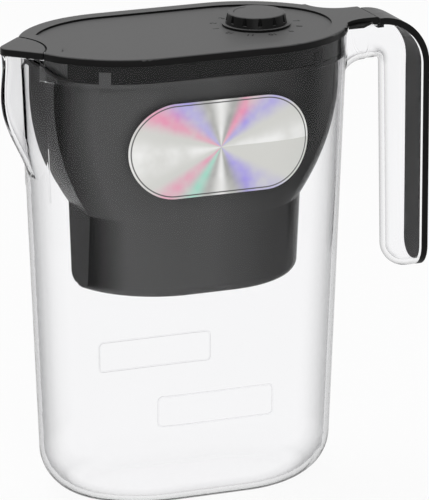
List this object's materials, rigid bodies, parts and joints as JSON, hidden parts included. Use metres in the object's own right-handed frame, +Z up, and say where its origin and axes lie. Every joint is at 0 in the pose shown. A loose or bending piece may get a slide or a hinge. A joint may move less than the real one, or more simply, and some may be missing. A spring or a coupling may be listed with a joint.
{
  "type": "water filter pitcher",
  "caption": "Clear fridge-door water filter pitcher with a smoky reservoir, a hinged dark lid with spout flap and month dial, and a lift-out filter cartridge",
  "frame": {"origin": "on the table under the middle of the jug's body, in line with its length and width", "axes": "+Z up, +X along the jug towards the handle with the spout at -X, +Y across the jug away from the label"},
  "size_m": [0.2467, 0.108, 0.2637],
  "materials": {
    "clear_plastic": "clear moulded plastic, polished",
    "smoke_plastic": "smoky translucent moulded plastic",
    "lid_plastic": "dark grey moulded plastic with a fine satin grain",
    "dark_plastic": "near-black moulded plastic, satin",
    "foil": "bare silver foil with a soft rainbow sheen, no print",
    "screw_steel": "plain stainless steel",
    "white_plastic": "white moulded plastic",
    "seal_rubber": "black silicone rubber",
    "mesh_fabric": "fine woven plastic mesh",
    "carbon": "packed carbon granules"
  },
  "bodies": {
    "jug": {"jug_body": "clear_plastic", "foil_label": "foil", "handle_shell": "clear_plastic", "handle_strip": "dark_plastic"},
    "tank": {"reservoir": "smoke_plastic", "hinge_bracket": "dark_plastic", "bracket_screws": "screw_steel"},
    "lid": {"lid_shell": "lid_plastic", "hinge_pin": "screw_steel", "lid_liner": "dark_plastic", "liner_screws": "screw_steel", "flap_pins": "screw_steel", "dial_bush": "white_plastic", "detent_spring": "white_plastic"},
    "flap": {"spout_flap": "lid_plastic"},
    "dial": {"dial_knob": "lid_plastic", "detent_wheel": "white_plastic", "dial_screw": "screw_steel"},
    "cartridge": {"cartridge_shell": "white_plastic", "cartridge_seal": "seal_rubber", "outlet_screen": "mesh_fabric", "carbon_bed": "carbon", "inlet_screen": "mesh_fabric", "cartridge_cap": "white_plastic"}
  },
  "joints": [
    {"name": "tank_lift", "type": "slide", "parent": "jug", "child": "tank", "axis": [0, 0, 1], "range_m": [0, 0.14]},
    {"name": "lid_hinge", "type": "hinge", "parent": "tank", "child": "lid", "pos_m": [0.1081, 0, 0.2553], "axis": [0, 1, 0], "range_deg": [0, 90]},
    {"name": "flap_hinge", "type": "hinge", "parent": "lid", "child": "flap", "pos_m": [-0.087, 0, 0.2562], "axis": [0, 1, 0], "range_deg": [0, 45]},
    {"name": "dial_turn", "type": "hinge", "parent": "lid", "child": "dial", "pos_m": [0.0425, 0, 0.2562], "axis": [0, 0, 1], "continuous": true},
    {"name": "cartridge_lift", "type": "slide", "parent": "tank", "child": "cartridge", "axis": [0, 0, 1], "range_m": [0, 0.045]}
  ]
}
